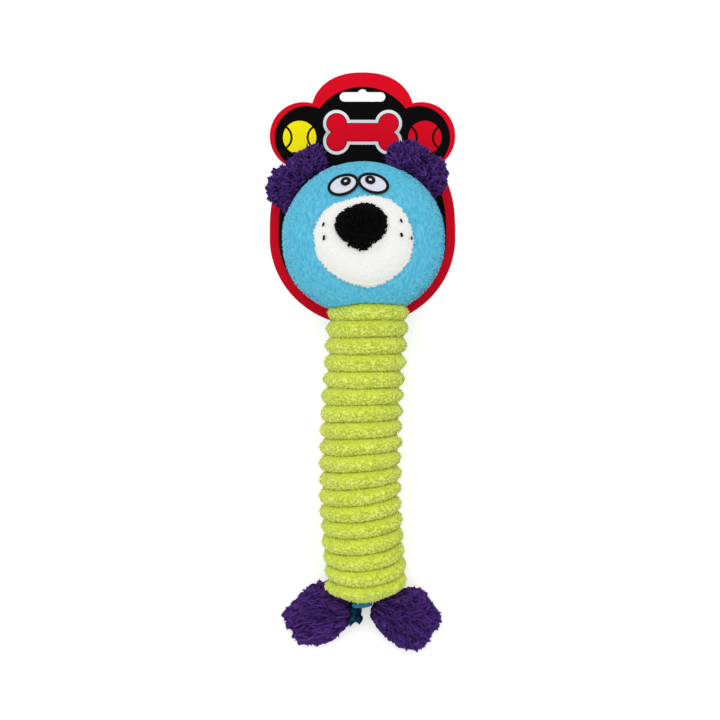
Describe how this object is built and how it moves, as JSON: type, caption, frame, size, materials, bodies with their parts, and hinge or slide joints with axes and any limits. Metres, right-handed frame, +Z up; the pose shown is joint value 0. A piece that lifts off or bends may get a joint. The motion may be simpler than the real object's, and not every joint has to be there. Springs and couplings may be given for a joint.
{
  "type": "plush dog toy",
  "caption": "Plush squeaky dog toy: round stuffed head with muzzle, eyes and shaggy ears, ribbed tube body, two shaggy feet and a hang card.",
  "frame": {"origin": "middle of the toy's box, on the surface that it lies on", "axes": "+Z up out of the face, +Y from the feet to the head, +X to the right of the face as it is seen from above"},
  "size_m": [0.1326, 0.4088, 0.1052],
  "materials": {
    "blue_plush": "short-pile plush",
    "white_plush": "short-pile plush",
    "black_fleece": "long-pile fleece",
    "purple_fleece": "shaggy yarn-like fleece",
    "green_plush": "short-pile plush, gathered into ribs",
    "base_fabric": "smooth plush",
    "eye_thread": "satin stitch embroidery",
    "black_thread": "satin stitch embroidery",
    "filling": "loose polyester fibre",
    "card": "printed and varnished board",
    "clear_plastic": "clear tag plastic",
    "squeaker_plastic": "soft moulded plastic"
  },
  "bodies": {
    "middle": {"body_sleeve_3": "green_plush", "body_filling_3_front": "filling", "body_filling_3_back": "filling", "squeaker_base": "squeaker_plastic", "squeaker_bellows": "squeaker_plastic", "flex_rib_2": "green_plush", "flex_rib_3": "green_plush"},
    "squeaker_top": {"squeaker_cap": "squeaker_plastic", "squeaker_reed": "squeaker_plastic"},
    "chest": {"body_sleeve_2": "green_plush", "body_filling_2": "filling", "flex_rib_1": "green_plush"},
    "neck": {"body_sleeve_1": "green_plush", "body_filling_1": "filling", "flex_rib_neck": "green_plush"},
    "head": {"head_front_panel": "blue_plush", "head_back_panel": "blue_plush", "head_filling": "filling", "muzzle_cover": "white_plush", "muzzle_filling": "filling", "nose": "black_fleece", "left_eye_outline": "black_thread", "left_eye_white": "eye_thread", "left_eye_pupil": "black_thread", "right_eye_outline": "black_thread", "right_eye_white": "eye_thread", "right_eye_pupil": "black_thread", "card_pin": "clear_plastic"},
    "card": {"hang_card": "card"},
    "left_ear": {"left_ear_front": "purple_fleece", "left_ear_back": "purple_fleece"},
    "right_ear": {"right_ear_front": "purple_fleece", "right_ear_back": "purple_fleece"},
    "hips": {"body_sleeve_4": "green_plush", "body_filling_4": "filling", "flex_rib_4": "green_plush"},
    "base": {"body_sleeve_5": "green_plush", "body_filling_5": "filling", "base_disc": "base_fabric"},
    "left_foot": {"left_foot_top": "purple_fleece", "left_foot_sole": "purple_fleece"},
    "right_foot": {"right_foot_top": "purple_fleece", "right_foot_sole": "purple_fleece"}
  },
  "joints": [
    {"name": "chest_bend", "type": "hinge", "parent": "middle", "child": "chest", "pos_m": [0.00083, -0.03453, 0.04134], "axis": [0.9984, -0.0563, 0], "range_deg": [-18, 18], "stiffness_Nm_per_rad": 0.8, "deforming": ["flex_rib_2"]},
    {"name": "neck_sway", "type": "hinge", "parent": "chest", "child": "neck", "pos_m": [0.00296, 0.00025, 0.043], "axis": [-0.0021, -0.0335, 0.9994], "range_deg": [-18, 18], "stiffness_Nm_per_rad": 0.8, "deforming": ["flex_rib_1"]},
    {"name": "head_nod", "type": "hinge", "parent": "neck", "child": "head", "pos_m": [0.00502, 0.03569, 0.04369], "axis": [0.9985, -0.0553, 0], "range_deg": [-18, 18], "stiffness_Nm_per_rad": 0.8, "deforming": ["flex_rib_neck"]},
    {"name": "hip_sway", "type": "hinge", "parent": "middle", "child": "hips", "pos_m": [-0.0006, -0.07933, 0.03776], "axis": [0.0003, -0.0978, 0.9952], "range_deg": [-18, 18], "stiffness_Nm_per_rad": 0.8, "deforming": ["flex_rib_3"]},
    {"name": "base_bend", "type": "hinge", "parent": "hips", "child": "base", "pos_m": [0.0005, -0.11175, 0.03415], "axis": [0.998, 0.0633, 0], "range_deg": [-18, 18], "stiffness_Nm_per_rad": 0.8, "deforming": ["flex_rib_4"]},
    {"name": "left_ear_fold", "type": "hinge", "parent": "head", "child": "left_ear", "pos_m": [-0.04196, 0.12445, 0.0437], "axis": [0.682, 0.7314, 0], "range_deg": [-45, 70], "stiffness_Nm_per_rad": 0.015},
    {"name": "right_ear_fold", "type": "hinge", "parent": "head", "child": "right_ear", "pos_m": [0.03868, 0.13078, 0.0437], "axis": [0.7934, -0.6088, 0], "range_deg": [-45, 70], "stiffness_Nm_per_rad": 0.015},
    {"name": "left_foot_fold", "type": "hinge", "parent": "base", "child": "left_foot", "pos_m": [-0.00389, -0.17471, 0.01702], "axis": [-0.2924, 0.9563, 0], "range_deg": [-30, 40], "stiffness_Nm_per_rad": 0.05},
    {"name": "right_foot_fold", "type": "hinge", "parent": "base", "child": "right_foot", "pos_m": [0.01203, -0.17313, 0.01703], "axis": [-0.454, -0.891, 0], "range_deg": [-30, 40], "stiffness_Nm_per_rad": 0.05},
    {"name": "card_turn", "type": "hinge", "parent": "head", "child": "card", "pos_m": [0.00115, 0.08822, 0.0015], "axis": [0, 0, 1], "range_deg": [-30, 30]},
    {"name": "squeaker_press", "type": "slide", "parent": "middle", "child": "squeaker_top", "axis": [0, 0, -1], "range_m": [0, 0.006], "stiffness_N_per_m": 300, "deforming": ["squeaker_bellows"]}
  ]
}
